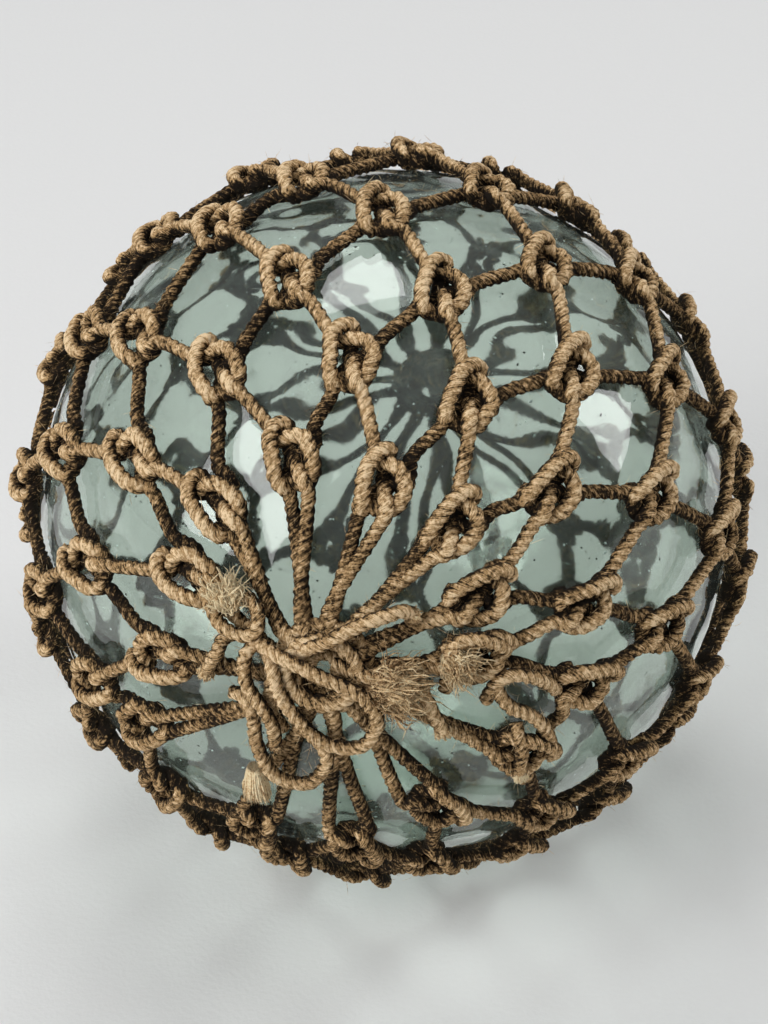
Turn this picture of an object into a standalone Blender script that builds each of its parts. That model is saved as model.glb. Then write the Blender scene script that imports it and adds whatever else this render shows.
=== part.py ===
"""A blown glass fishing float held in a knotted rope net.

The net is a lattice of meshes wound round the ball about one axis: a front
gather, where a drawstring closes it, and a far eye, where it was begun.
Each knot is a loop of rope on that lattice. Metres, +Z up. The origin is on
the surface that the float rests on, under the middle of the whole work.
"""
import math

import bmesh
import bpy
from mathutils import Matrix, Vector

# Driving dimensions
GLASS_RADIUS = 0.170
ROPE_DIAMETER = 0.0065
CLEARANCE = 0.0003
MESHES_ROUND = 13
KNOT_ROWS = 9

# The lattice: degrees away from the gather, and degrees round it from the top
GATHER_RISE = 13.3
GATHER_SWING = 8.8
FIRST_ROW_ANGLE = 30.3
LAST_ROW_ANGLE = 146.3
FIRST_KNOT_TURN = -16.8
ROW_TWIST = 0.74

# How far the drawn-up rows are pulled off the even lattice, in degrees
PULL = 3.7
PULL_TOWARDS = 201.0
OVAL = 4.6
OVAL_TOWARDS = 3.5
PULL_FADES_IN_ROWS = 2.0
SKEW = 6.0
SKEW_TOWARDS = -64.0
SKEW_FADES_IN_ROWS = 4.0

# Knots tied off the even lattice: column and row, then degrees outwards and round
LOOSE_KNOTS = {
    (0, 1): (2.5, -1.3), (0, 2): (2.1, -2.4), (1, 0): (-2.8, 2.1), (1, 3): (3.0, 0.0),
    (2, 0): (0.0, 2.0), (2, 4): (-2.9, -1.1), (4, 0): (-2.5, -5.0), (4, 1): (-1.5, 0.8),
    (5, 0): (5.5, 2.8), (5, 1): (-2.3, -6.0), (5, 2): (-2.6, -2.5), (6, 0): (-2.7, 2.5),
    (6, 1): (4.0, 3.0), (8, 0): (1.3, -5.0), (9, 0): (3.0, 4.0), (10, 0): (-1.5, -2.6),
    (11, 0): (-2.4, 3.6),
}

# One knot, in rope radii: its outline and the hole in its loop, across and along
KNOT_OUTLINE = (3.75, 4.0)
KNOT_HOLE = (1.1, 1.25)
# How high its outer edge runs over the glass, higher at the sides and most at the bar
# on the left, and how far the rope that crosses itself stands over that edge's middle
KNOT_MEAN_HEIGHT = 1.95
KNOT_SIDES_RISE = 0.5
KNOT_BAR_RISE = 0.3
KNOT_CREST = 1.35
# The rows from this one on are out of sight, and their knots are plain domed lumps
FIRST_LUMP_ROW = 5
# The least angle between two strands that leave a knot the same way, from their middle
STRAND_SPREAD = 19.0

# The ring of drawn-up bights at the gather, and the eye like it at the far end. The
# middle of its rope stands over the glass by this much more than the rope needs
COLLAR_RADIUS = 0.021
COLLAR_LIFT = 0.0026

# The drawstring's ring inside the bights: how far it stands over theirs
RING_LIFT = 0.0040
RING_POINTS = 16
# Its tied ends, each a route of degrees right and up over the glass from the gather,
# and rope radii over or under the level at which a rope lies across the knots
TAIL_ROUTE = [
    (-9.4, -22.2, -0.3), (-9.4, -19.2, 0), (-9.4, -16.2, 0), (-9.4, -11.8, 0), (-9.8, -7.8, 0),
    (-10.1, -4.7, 0), (-9.8, -1.3, 0), (-8.8, 1.3, 0), (-6.7, 2.7, 0), (-4.4, 1.7, -0.3),
]
LOOP_ROUTE = [
    (-6.7, -23.9, -0.3), (-4.0, -22.2, 0), (-1.7, -20.2, 0.3), (0.0, -17.5, 0), (0.7, -14.5, 0),
    (-0.7, -11.8, 0), (-3.0, -10.4, 0), (-5.1, -8.8, 0), (-6.1, -6.1, 0), (-6.4, -3.0, 0.3),
    (-7.1, 0.7, 0.6), (-6.4, 4.0, 1.2), (-3.4, 4.4, 1.5), (-0.7, 2.0, 1.2), (2.0, -0.3, 0.6),
    (4.7, -2.0, 0.3), (6.7, -4.7, 0), (7.1, -8.1, 0), (5.4, -11.1, 0), (2.4, -11.8, 0),
    (-0.7, -9.8, 0), (-2.4, -6.7, 0), (-2.7, -3.4, -0.6), (-2.7, -0.7, -0.9),
]
BRIDGE_ROUTE = [
    (-2.7, 4.7, 0.6), (-0.3, 5.4, 0.9), (2.7, 7.1, 0.9), (6.1, 9.1, 0.6), (9.4, 10.1, 0),
    (11.8, 8.8, -0.6), (12.5, 6.1, -0.9), (12.1, 3.0, -0.6), (10.1, 0.7, -0.3), (7.4, -0.3, -0.3),
]
ROUTE_STEPS = 16
FRAYED_SWELL = 1.7

# How deep the resting plane cuts into the evenly spaced knots round the bottom mesh
STAND_FLAT = 0.0002

ROPE_RADIUS = ROPE_DIAMETER / 2
SQUARE_HALF = ROPE_RADIUS * math.sqrt(math.pi) / 2
COLLAR_HEIGHT = SQUARE_HALF + COLLAR_LIFT
ROW_STEP = (LAST_ROW_ANGLE - FIRST_ROW_ANGLE) / (KNOT_ROWS - 1)
KNOT_TOP = (KNOT_MEAN_HEIGHT + KNOT_SIDES_RISE + KNOT_CREST) * ROPE_RADIUS
ROUTE_LEVEL = KNOT_TOP + 0.8 * ROPE_RADIUS
BALL_HEIGHT = (GLASS_RADIUS + KNOT_TOP) * math.cos(math.radians(ROW_STEP)) - STAND_FLAT
BALL_CENTRE = Vector((0.0, 0.0, BALL_HEIGHT))


def gather_axes():
    """The gather's outward direction, and the directions up and right over the ball there."""
    rise = math.radians(GATHER_RISE)
    swing = math.radians(GATHER_SWING)
    out = Vector((-math.sin(swing) * math.cos(rise), -math.cos(swing) * math.cos(rise), math.sin(rise)))
    up = Vector((0.0, 0.0, 1.0)) - out * out.z
    up.normalize()
    return out, up, up.cross(out)


GATHER, GATHER_UP, GATHER_RIGHT = gather_axes()


def direction(away, turn):
    """The unit direction that lies away degrees from the gather and turn degrees round it."""
    away = math.radians(away)
    turn = math.radians(turn)
    across = math.cos(turn) * GATHER_UP + math.sin(turn) * GATHER_RIGHT
    return math.cos(away) * GATHER + math.sin(away) * across


def over_glass(away, turn, height):
    """The point at a height over the glass."""
    return BALL_CENTRE + (GLASS_RADIUS + height) * direction(away, turn)


def over_gather(right, up, height):
    """The point reached by going right and up over the glass from the gather, in degrees."""
    return over_glass(math.hypot(right, up), math.degrees(math.atan2(right, up)), height)


def knot_angles(column, row):
    """Where a knot sits: the even lattice, pulled and skewed near the gather."""
    turn = FIRST_KNOT_TURN + 360.0 / MESHES_ROUND * (column - row / 2) + ROW_TWIST * row
    pull = PULL * math.cos(math.radians(turn - PULL_TOWARDS))
    pull += OVAL * math.cos(math.radians(2 * (turn - OVAL_TOWARDS)))
    away = FIRST_ROW_ANGLE + ROW_STEP * row + pull * math.exp(-row / PULL_FADES_IN_ROWS)
    turn += SKEW * math.cos(math.radians(turn - SKEW_TOWARDS)) * math.exp(-row / SKEW_FADES_IN_ROWS)
    out_by, round_by = LOOSE_KNOTS.get((column % MESHES_ROUND, row), (0.0, 0.0))
    return away + out_by, turn + round_by


def knot_frame(column, row):
    """A knot's directions: out of the glass, outwards from the gather, and to the right."""
    away, turn = knot_angles(column, row)
    radial = direction(away, turn)
    onwards = direction(away + 90.0, turn)
    return radial, onwards, onwards.cross(radial)


def material(name, color, roughness, transmission=0.0):
    """A plain finish."""
    mat = bpy.data.materials.new(name)
    mat.use_nodes = True
    shader = mat.node_tree.nodes["Principled BSDF"]
    shader.inputs["Base Color"].default_value = (*color, 1.0)
    shader.inputs["Roughness"].default_value = roughness
    shader.inputs["Transmission Weight"].default_value = transmission
    return mat


def finish(obj, mat, collection):
    """Gives an object its material and its collection."""
    for old in list(obj.users_collection):
        old.objects.unlink(obj)
    collection.objects.link(obj)
    obj.data.materials.clear()
    obj.data.materials.append(mat)
    obj.data.shade_smooth()
    return obj


def glass_ball(mat, collection):
    """The blown ball, sealed and so solid here."""
    bpy.ops.mesh.primitive_ico_sphere_add(subdivisions=4, radius=GLASS_RADIUS, location=BALL_CENTRE)
    ball = bpy.context.object
    ball.name = "glass_ball"
    return finish(ball, mat, collection)


def rope_section(bm, place, outwards, radial):
    """A square rope section round a point of a ring: outer low, outer high, inner high, inner low."""
    corners = []
    for side, level in ((1, -1), (1, 1), (-1, 1), (-1, -1)):
        corners.append(bm.verts.new(place + SQUARE_HALF * (side * outwards + level * radial)))
    return corners


def knot_section(bm, frame, angle, uneven):
    """A section of a knot's loop at an angle in its plane, with its corners in the same order."""
    radial, onwards, sideways = frame
    rise = KNOT_SIDES_RISE * math.cos(2 * angle) - KNOT_BAR_RISE * math.cos(angle)
    height = (KNOT_MEAN_HEIGHT + (rise if uneven else 0.0)) * ROPE_RADIUS
    crest = height + KNOT_CREST * ROPE_RADIUS
    corners = []
    for outline, level in ((KNOT_OUTLINE, height - SQUARE_HALF), (KNOT_OUTLINE, height + SQUARE_HALF),
                           (KNOT_HOLE, crest), (KNOT_HOLE, height - SQUARE_HALF)):
        aside = outline[0] * math.cos(angle) * sideways + outline[1] * math.sin(angle) * onwards
        place = (GLASS_RADIUS * radial + ROPE_RADIUS * aside).normalized()
        corners.append(bm.verts.new(BALL_CENTRE + (GLASS_RADIUS + level) * place))
    return corners


def loft_loop(bm, sections, open_segments):
    """Joins the sections into a closed loop of rope, and returns the outer faces left open."""
    mouths = {}
    for index, here in enumerate(sections):
        onward = sections[(index + 1) % len(sections)]
        for side in range(4):
            quad = (here[side], here[(side + 1) % 4], onward[(side + 1) % 4], onward[side])
            if side == 0 and index in open_segments:
                mouths[open_segments[index]] = quad
            else:
                bm.faces.new(quad)
    return mouths


def side_faces(bm, start, end):
    """The four sides of a rope between two sections."""
    for side in range(4):
        after = (side + 1) % 4
        bm.faces.new((start[side], start[after], end[after], end[side]))


def bridge(bm, mouth, other):
    """A strand between two open faces, joined corner to nearest corner and kept off the glass."""
    facing = tuple(reversed(other))
    turned = [facing[shift:] + facing[:shift] for shift in range(4)]
    match = min(turned, key=lambda quad: sum((a.co - b.co).length for a, b in zip(mouth, quad)))
    halfway = [(a.co + b.co) / 2 for a, b in zip(mouth, match)]
    sunk = GLASS_RADIUS + 2 * CLEARANCE - min((place - BALL_CENTRE).length for place in halfway)
    if sunk <= 0:
        side_faces(bm, mouth, match)
        return
    lift = (sum(halfway, Vector()) / 4 - BALL_CENTRE).normalized() * sunk
    middle = [bm.verts.new(place + lift) for place in halfway]
    side_faces(bm, mouth, middle)
    side_faces(bm, middle, match)


def strand_bearings(column, row):
    """The angles in a knot's own plane at which its four strands leave, right round from the right."""
    radial, onwards, sideways = knot_frame(column, row)
    towards = {
        "up_right": (column + 1, row + 1), "up_left": (column, row + 1),
        "down_left": (column - 1, row - 1), "down_right": (column, row - 1),
    }
    bearings = {}
    for name, (other_column, other_row) in towards.items():
        away, turn = knot_angles(other_column, other_row)
        line = direction(away, turn) - radial
        bearings[name] = math.degrees(math.atan2(line.dot(onwards), line.dot(sideways))) % 360
    for first, second in (("up_right", "up_left"), ("down_left", "down_right")):
        middle = (bearings[first] + bearings[second]) / 2
        half = max((bearings[second] - bearings[first]) / 2, STRAND_SPREAD)
        bearings[first] = middle - half
        bearings[second] = middle + half
    return bearings


def knot(bm, column, row):
    """A knot's loop of rope, open where its strands leave; a closed lump on the hidden rows."""
    frame = knot_frame(column, row)
    seen = row < FIRST_LUMP_ROW
    half_mouth = math.asin(SQUARE_HALF / (KNOT_OUTLINE[1] * ROPE_RADIUS))
    sections = []
    mouths = {}
    for name, bearing in sorted(strand_bearings(column, row).items(), key=lambda item: item[1]):
        mouths[len(sections)] = name
        sections.append(knot_section(bm, frame, math.radians(bearing) - half_mouth, seen))
        sections.append(knot_section(bm, frame, math.radians(bearing) + half_mouth, seen))
    if seen:
        return loft_loop(bm, sections, mouths)
    return domed_lump(bm, sections, mouths, BALL_CENTRE + (GLASS_RADIUS + KNOT_TOP) * frame[0])


def domed_lump(bm, sections, open_segments, top):
    """The same outline as a closed lump, domed to its top, and the outer faces left open."""
    crest = bm.verts.new(top)
    mouths = {}
    for index, here in enumerate(sections):
        onward = sections[(index + 1) % len(sections)]
        quad = (here[0], here[1], onward[1], onward[0])
        bm.faces.new((here[1], crest, onward[1]))
        if index in open_segments:
            mouths[open_segments[index]] = quad
        else:
            bm.faces.new(quad)
    bm.faces.new([section[0] for section in reversed(sections)])
    for section in sections:
        bm.verts.remove(section[2])
        bm.verts.remove(section[3])
    return mouths


def end_ring(bm, row):
    """The ring that the first or the last row is drawn up to, with an open face for each strand."""
    at_gather = row == 0
    ring_angle = math.degrees(COLLAR_RADIUS / GLASS_RADIUS)
    outwards = ring_angle + 90.0
    if not at_gather:
        ring_angle = 180.0 - ring_angle
        outwards = ring_angle - 90.0
    strands = 2 * MESHES_ROUND
    start = FIRST_KNOT_TURN - 360.0 / MESHES_ROUND * row / 2 + ROW_TWIST * row
    sections = []
    for index in range(strands):
        turn = start + 360.0 / strands * (index - 1)
        radial = direction(ring_angle, turn)
        out = direction(outwards, turn)
        sections.append(rope_section(bm, over_glass(ring_angle, turn, COLLAR_HEIGHT), out, radial))
    mouths = {index: (index // 2, index % 2) for index in range(strands)}
    return loft_loop(bm, sections, mouths)


def build_net(bm):
    """Every knot's loop, the strands between them, and the ring at each end."""
    loops = {}
    for row in range(KNOT_ROWS):
        for column in range(MESHES_ROUND):
            loops[column, row] = knot(bm, column, row)
    for (column, row), mouths in loops.items():
        if row + 1 < KNOT_ROWS:
            bridge(bm, mouths["up_left"], loops[column, row + 1]["down_right"])
            neighbour = loops[(column + 1) % MESHES_ROUND, row + 1]
            bridge(bm, mouths["up_right"], neighbour["down_left"])
    near = end_ring(bm, 0)
    far = end_ring(bm, KNOT_ROWS - 1)
    for column in range(MESHES_ROUND):
        first = loops[column, 0]
        last = loops[column, KNOT_ROWS - 1]
        bridge(bm, first["down_left"], near[column, 0])
        bridge(bm, first["down_right"], near[column, 1])
        bridge(bm, last["up_left"], far[column, 0])
        bridge(bm, last["up_right"], far[column, 1])


def floor_cutter(collection):
    """A block under the resting plane, which leaves the small flats that the float stands on."""
    depth = ROPE_DIAMETER * 4
    bpy.ops.mesh.primitive_cube_add(size=1.0, location=(0.0, 0.0, -depth / 2))
    block = bpy.context.object
    block.name = "floor_cutter"
    block.data.transform(Matrix.Diagonal((GLASS_RADIUS * 2, GLASS_RADIUS * 2, depth, 1.0)))
    block.hide_render = True
    block.display_type = "WIRE"
    for old in list(block.users_collection):
        old.objects.unlink(block)
    collection.objects.link(block)
    return block


def rope_net(mat, collection, cutter):
    """The knotted net, flat where it stands."""
    bm = bmesh.new()
    build_net(bm)
    bmesh.ops.recalc_face_normals(bm, faces=bm.faces)
    mesh = bpy.data.meshes.new("rope_net")
    bm.to_mesh(mesh)
    bm.free()
    net = bpy.data.objects.new("rope_net", mesh)
    collection.objects.link(net)
    flat = net.modifiers.new("Stand flat", "BOOLEAN")
    flat.operation = "DIFFERENCE"
    flat.object = cutter
    return finish(net, mat, collection)


def smooth_route(route, spacing):
    """Points at about the spacing on a smooth curve through a route's own points, in metres."""
    points = [over_gather(right, up, ROUTE_LEVEL + over * ROPE_RADIUS) for right, up, over in route]
    fine = []
    for index in range(len(points) - 1):
        before = points[max(index - 1, 0)]
        here = points[index]
        onward = points[index + 1]
        after = points[min(index + 2, len(points) - 1)]
        for step in range(ROUTE_STEPS):
            fine.append(curve_point(before, here, onward, after, step / ROUTE_STEPS))
    fine.append(points[-1])
    even = [fine[0]]
    travelled = 0.0
    for start, end in zip(fine, fine[1:]):
        travelled += (end - start).length
        if travelled >= spacing:
            even.append(end)
            travelled = 0.0
    even[-1] = fine[-1]
    return even


def curve_point(before, here, onward, after, share):
    """The cubic through four points in a row, between the middle two."""
    bend = 2 * before - 5 * here + 4 * onward - after
    twist = 3 * (here - onward) + after - before
    return here + 0.5 * share * ((onward - before) + share * (bend + share * twist))


def rope_tube(name, points, collection, swells=(1.0, 1.0), closed=False):
    """A round rope along the points, as a mesh with its caps welded."""
    curve = bpy.data.curves.new(name, "CURVE")
    curve.dimensions = "3D"
    curve.bevel_depth = ROPE_RADIUS
    curve.bevel_resolution = 1
    curve.use_fill_caps = True
    spline = curve.splines.new("POLY")
    spline.points.add(len(points) - 1)
    spline.use_cyclic_u = closed
    for target, place in zip(spline.points, points):
        target.co = (*place, 1.0)
    if not closed:
        spline.points[0].radius, spline.points[-1].radius = swells
    obj = bpy.data.objects.new(name, curve)
    collection.objects.link(obj)
    seen = obj.evaluated_get(bpy.context.evaluated_depsgraph_get())
    mesh = bpy.data.meshes.new_from_object(seen)
    bm = bmesh.new()
    bm.from_mesh(mesh)
    bmesh.ops.remove_doubles(bm, verts=bm.verts, dist=0.00001)
    bm.to_mesh(mesh)
    bm.free()
    bpy.data.objects.remove(obj)
    tube = bpy.data.objects.new(name, mesh)
    collection.objects.link(tube)
    return tube


def gathering_rope(mat, collection, pieces):
    """The drawstring: a ring inside the bights, tied off in two loops with two frayed ends."""
    ring_angle = math.degrees((COLLAR_RADIUS - SQUARE_HALF - ROPE_RADIUS - CLEARANCE) / GLASS_RADIUS)
    turns = [360.0 * index / RING_POINTS for index in range(RING_POINTS)]
    ring = [over_glass(ring_angle, turn, COLLAR_HEIGHT + RING_LIFT) for turn in turns]
    main = rope_tube("gathering_rope", ring, collection, closed=True)
    others = [
        rope_tube("tail", smooth_route(TAIL_ROUTE, ROPE_DIAMETER), pieces, (FRAYED_SWELL, 1.0)),
        rope_tube("loops", smooth_route(LOOP_ROUTE, ROPE_DIAMETER), pieces),
        rope_tube("bridge", smooth_route(BRIDGE_ROUTE, ROPE_DIAMETER), pieces, (1.0, FRAYED_SWELL)),
    ]
    for other in others:
        other.hide_render = True
        other.display_type = "WIRE"
        join = main.modifiers.new("Tied to " + other.name, "BOOLEAN")
        join.operation = "UNION"
        join.object = other
    return finish(main, mat, collection)


def clear_scene():
    """Takes every object out of the scene."""
    for obj in list(bpy.data.objects):
        bpy.data.objects.remove(obj)


def centre_over_origin(seen_parts, cutters):
    """Moves the whole work so that the middle of its box stands over the origin."""
    corners = []
    graph = bpy.context.evaluated_depsgraph_get()
    for obj in seen_parts:
        seen = obj.evaluated_get(graph)
        corners += [seen.matrix_world @ Vector(corner) for corner in seen.bound_box]
    shift = Vector((0.0, 0.0, 0.0))
    for axis in (0, 1):
        values = [corner[axis] for corner in corners]
        shift[axis] = -(min(values) + max(values)) / 2
    for obj in seen_parts + cutters:
        obj.location += shift


clear_scene()
parts = bpy.data.collections.new("glass_float_ball")
helpers = bpy.data.collections.new("cutters")
bpy.context.scene.collection.children.link(parts)
bpy.context.scene.collection.children.link(helpers)
glass = material("aqua_glass", (0.42, 0.56, 0.52), 0.05, 0.9)
rope = material("brown_rope", (0.30, 0.19, 0.10), 0.95)
glass_ball(glass, parts)
rope_net(rope, parts, floor_cutter(helpers))
gathering_rope(rope, parts, helpers)
centre_over_origin(list(parts.objects), list(helpers.objects))
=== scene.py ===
import math

import bpy
import numpy as np
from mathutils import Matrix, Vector


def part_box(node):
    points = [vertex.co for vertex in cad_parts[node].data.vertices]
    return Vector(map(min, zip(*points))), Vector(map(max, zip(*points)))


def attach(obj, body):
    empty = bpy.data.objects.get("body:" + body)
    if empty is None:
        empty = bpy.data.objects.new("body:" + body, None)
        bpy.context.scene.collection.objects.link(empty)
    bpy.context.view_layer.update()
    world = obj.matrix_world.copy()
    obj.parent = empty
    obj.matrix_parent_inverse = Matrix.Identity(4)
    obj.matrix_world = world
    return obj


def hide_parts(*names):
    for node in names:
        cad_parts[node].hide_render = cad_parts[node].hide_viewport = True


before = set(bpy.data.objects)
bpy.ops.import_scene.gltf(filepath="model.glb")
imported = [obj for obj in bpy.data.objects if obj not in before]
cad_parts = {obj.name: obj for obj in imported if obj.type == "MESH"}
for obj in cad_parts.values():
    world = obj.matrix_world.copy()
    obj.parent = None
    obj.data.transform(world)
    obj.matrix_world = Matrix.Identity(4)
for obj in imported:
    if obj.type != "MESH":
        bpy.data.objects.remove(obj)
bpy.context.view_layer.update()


# The glass ball
# A float blown of pale aqua glass and sealed, so it is hollow, with a wall of about
# 5 mm. Both faces of the wall ripple a little, as blown glass does.
LOW, HIGH = (np.array(corner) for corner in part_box("glass_ball"))
BALL_CENTRE = (LOW + HIGH) / 2
GLASS_RADIUS = (HIGH[0] - LOW[0]) / 2
GLASS_WALL = 0.0050
RIPPLE_DEPTH = 0.00020
WALL_UNEVENNESS = 0.0003
# Faces round the ball, and from pole to pole
BALL_STEPS = (200, 100)
OUTSIDE_GLASS = (0.765, 0.835, 0.782)
INSIDE_GLASS = (0.73, 0.805, 0.75)
LAMPLIGHT_COLOUR = (0.93, 0.955, 0.945)
GLASS_INDEX = 1.5
# How clear and how rough each face is: the inside has a thin haze
OUTSIDE_CLEARNESS, OUTSIDE_ROUGHNESS = 0.996, 0.02
INSIDE_CLEARNESS, INSIDE_ROUGHNESS = 0.985, 0.05
# The waves of the faces and of the wall, in radians from the ball's middle to its edge
RIPPLE_WAVES = (17, 23, 29, 34, 41, 53)
UNEVENNESS_WAVES = (5, 7, 9, 13, 19)
INSIDE_RIPPLE_WAVES = (21, 27, 33, 45)
# Mottling of both faces, finer than their ripple: noise waves to the metre, and their depth
MOTTLE_SCALE = 36.0
MOTTLE_DETAIL = 2.0
MOTTLE_DEPTH = 0.00013


def surface(name, points, face_sets, values=None):
    """A smooth mesh object from an array of points and arrays of faces, all corners in a row.
    Each entry of values is a number or a vector for every point, kept as an attribute."""
    mesh = bpy.data.meshes.new(name)
    mesh.vertices.add(len(points))
    mesh.vertices.foreach_set("co", np.asarray(points, np.float32).ravel())
    corners = np.concatenate([faces.ravel() for faces in face_sets]).astype(np.int32)
    counts = np.concatenate([np.full(len(faces), faces.shape[1]) for faces in face_sets])
    starts = (np.cumsum(counts) - counts).astype(np.int32)
    mesh.loops.add(len(corners))
    mesh.loops.foreach_set("vertex_index", corners)
    mesh.polygons.add(len(starts))
    mesh.polygons.foreach_set("loop_start", starts)
    for title, numbers in (values or {}).items():
        kind, field = ("FLOAT", "value") if np.ndim(numbers) == 1 else ("FLOAT_VECTOR", "vector")
        attribute = mesh.attributes.new(title, kind, "POINT")
        attribute.data.foreach_set(field, np.asarray(numbers, np.float32).ravel())
    mesh.update(calc_edges=True)
    mesh.shade_smooth()
    piece = bpy.data.objects.new(name, mesh)
    bpy.context.scene.collection.objects.link(piece)
    return piece


def waves(directions, lengths, seed):
    """The sum of sine waves over the root of their number. Each has so many radians from the ball's
    middle to its edge, along its own random line."""
    rng = np.random.default_rng(seed)
    total = np.zeros(len(directions))
    for radians in lengths:
        line = rng.normal(size=3)
        line /= np.linalg.norm(line)
        total += np.sin(radians * (directions @ line) + rng.uniform(0, 2 * math.pi))
    return total / math.sqrt(len(lengths))


def globe(steps_round, steps_down):
    """Unit directions on circles from pole to pole, with one point at each pole, and their faces."""
    down = math.pi * np.arange(1, steps_down) / steps_down
    turn = 2 * math.pi * np.arange(steps_round) / steps_round
    down, turn = np.meshgrid(down, turn, indexing="ij")
    ring = np.stack([np.sin(down) * np.cos(turn), np.sin(down) * np.sin(turn), np.cos(down)], -1)
    points = np.concatenate([ring.reshape(-1, 3), [[0, 0, 1], [0, 0, -1]]])
    index = np.arange((steps_down - 1) * steps_round).reshape(steps_down - 1, steps_round)
    beside = np.roll(index, -1, axis=1)
    quads = np.stack([index[:-1], index[1:], beside[1:], beside[:-1]], -1).reshape(-1, 4)
    top = np.full(steps_round, len(points) - 2)
    bottom = np.full(steps_round, len(points) - 1)
    caps = np.concatenate([np.stack([top, index[0], beside[0]], -1),
                           np.stack([bottom, beside[-1], index[-1]], -1)])
    return points, quads, caps


def glass_finish(name, colour, clearness, roughness):
    """Aqua glass, clear but for a thin haze, with a fine mottling as its bump. Rays from lamps pass
    it as through a tinted film, so they reach inside."""
    mat = bpy.data.materials.new(name)
    mat.use_nodes = True
    nodes, links = mat.node_tree.nodes, mat.node_tree.links
    shader = nodes["Principled BSDF"]
    shader.inputs["Base Color"].default_value = (*colour, 1.0)
    shader.inputs["Roughness"].default_value = roughness
    shader.inputs["IOR"].default_value = GLASS_INDEX
    shader.inputs["Transmission Weight"].default_value = clearness
    place = nodes.new("ShaderNodeTexCoord")
    noise = nodes.new("ShaderNodeTexNoise")
    noise.inputs["Scale"].default_value = MOTTLE_SCALE
    noise.inputs["Detail"].default_value = MOTTLE_DETAIL
    bump = nodes.new("ShaderNodeBump")
    bump.inputs["Strength"].default_value = 1.0
    bump.inputs["Distance"].default_value = MOTTLE_DEPTH
    links.new(place.outputs["Object"], noise.inputs["Vector"])
    links.new(noise.outputs["Fac"], bump.inputs["Height"])
    links.new(bump.outputs["Normal"], shader.inputs["Normal"])
    film = nodes.new("ShaderNodeBsdfTransparent")
    film.inputs["Color"].default_value = (*LAMPLIGHT_COLOUR, 1.0)
    rays = nodes.new("ShaderNodeLightPath")
    mix = nodes.new("ShaderNodeMixShader")
    links.new(rays.outputs["Is Shadow Ray"], mix.inputs["Fac"])
    links.new(shader.outputs["BSDF"], mix.inputs[1])
    links.new(film.outputs["BSDF"], mix.inputs[2])
    links.new(mix.outputs["Shader"], nodes["Material Output"].inputs["Surface"])
    return mat


directions, wall_quads, wall_caps = globe(*BALL_STEPS)
outer = GLASS_RADIUS + RIPPLE_DEPTH * (waves(directions, RIPPLE_WAVES, seed=3) - 1)
inner = outer - GLASS_WALL + WALL_UNEVENNESS * waves(directions, UNEVENNESS_WAVES, seed=4)
inner += RIPPLE_DEPTH * waves(directions, INSIDE_RIPPLE_WAVES, seed=5)
reach = np.concatenate([outer, inner])[:, None]
wall_points = BALL_CENTRE + np.concatenate([directions, directions]) * reach
inside_faces = [faces[:, ::-1] + len(directions) for faces in (wall_quads, wall_caps)]
glass_wall = surface("glass_wall", wall_points, [wall_quads, wall_caps, *inside_faces])
glass_wall.data.materials.append(
    glass_finish("aqua_glass", OUTSIDE_GLASS, OUTSIDE_CLEARNESS, OUTSIDE_ROUGHNESS))
glass_wall.data.materials.append(
    glass_finish("aqua_glass_inside", INSIDE_GLASS, INSIDE_CLEARNESS, INSIDE_ROUGHNESS))
outside_faces = len(wall_quads) + len(wall_caps)
face_sides = np.zeros(2 * outside_faces, np.int32)
face_sides[outside_faces:] = 1
glass_wall.data.polygons.foreach_set("material_index", face_sides)
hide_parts("glass_ball")
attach(glass_wall, "root")


# Seeds in the glass
# Small bubbles of air and specks of ash that the melt kept. They are scattered through the
# wall and drawn a little longer along it. The bubbles are pale specks, a painted glint, and the ash shows
# dark wherever one looks in.
SEED_COUNTS = {"air": 3400, "ash": 2100}
# The air bubbles' pale colour is a painted glint; the ash is dark
SEED_COLOURS_AND_GLINT = {"air": (0.62, 0.72, 0.69), "ash": (0.045, 0.055, 0.048)}
SEED_RADIUS = (0.00018, 0.00072)
SEED_DEPTH = (0.0010, 0.0035)
SEED_STRETCH = (1.0, 1.9)
SEED_ROUGHNESS = 0.15
# Where the seeds' random numbers start
SEED_RANDOM = 11


def seeds(count, seed):
    """Eight-sided bubbles: the corners of an octahedron, drawn out along the wall. Their size grows
    with the cube of a random share, so most of them are small."""
    rng = np.random.default_rng(seed)
    out = rng.normal(size=(count, 3))
    out /= np.linalg.norm(out, axis=1, keepdims=True)
    along = np.cross(out, rng.normal(size=(count, 3)))
    along /= np.linalg.norm(along, axis=1, keepdims=True)
    across = np.cross(out, along)
    size = SEED_RADIUS[0] + (SEED_RADIUS[1] - SEED_RADIUS[0]) * rng.random(count) ** 3
    place = BALL_CENTRE + out * (GLASS_RADIUS - rng.uniform(*SEED_DEPTH, count))[:, None]
    stretch = rng.uniform(*SEED_STRETCH, count)
    arms = np.stack([along * stretch[:, None], across, -along * stretch[:, None], -across, out, -out], 1)
    points = place[:, None] + arms * size[:, None, None]
    corner = np.arange(4)
    beside = np.roll(corner, -1)
    one = np.concatenate([np.stack([corner, beside, np.full(4, 4)], -1),
                          np.stack([beside, corner, np.full(4, 5)], -1)])
    faces = (one[None] + 6 * np.arange(count)[:, None, None]).reshape(-1, 3)
    return points.reshape(-1, 3), faces


def plain_finish(name, colour, roughness):
    """One colour and one roughness."""
    mat = bpy.data.materials.new(name)
    mat.use_nodes = True
    shader = mat.node_tree.nodes["Principled BSDF"]
    shader.inputs["Base Color"].default_value = (*colour, 1.0)
    shader.inputs["Roughness"].default_value = roughness
    return mat


for seed_number, (seed_kind, seed_count) in enumerate(SEED_COUNTS.items()):
    seed_points, seed_faces = seeds(seed_count, SEED_RANDOM + seed_number)
    glass_seeds = surface("glass_seeds_" + seed_kind, seed_points, [seed_faces])
    seed_finish = plain_finish("seed_" + seed_kind, SEED_COLOURS_AND_GLINT[seed_kind], SEED_ROUGHNESS)
    glass_seeds.data.materials.append(seed_finish)
    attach(glass_seeds, "root")


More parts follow.
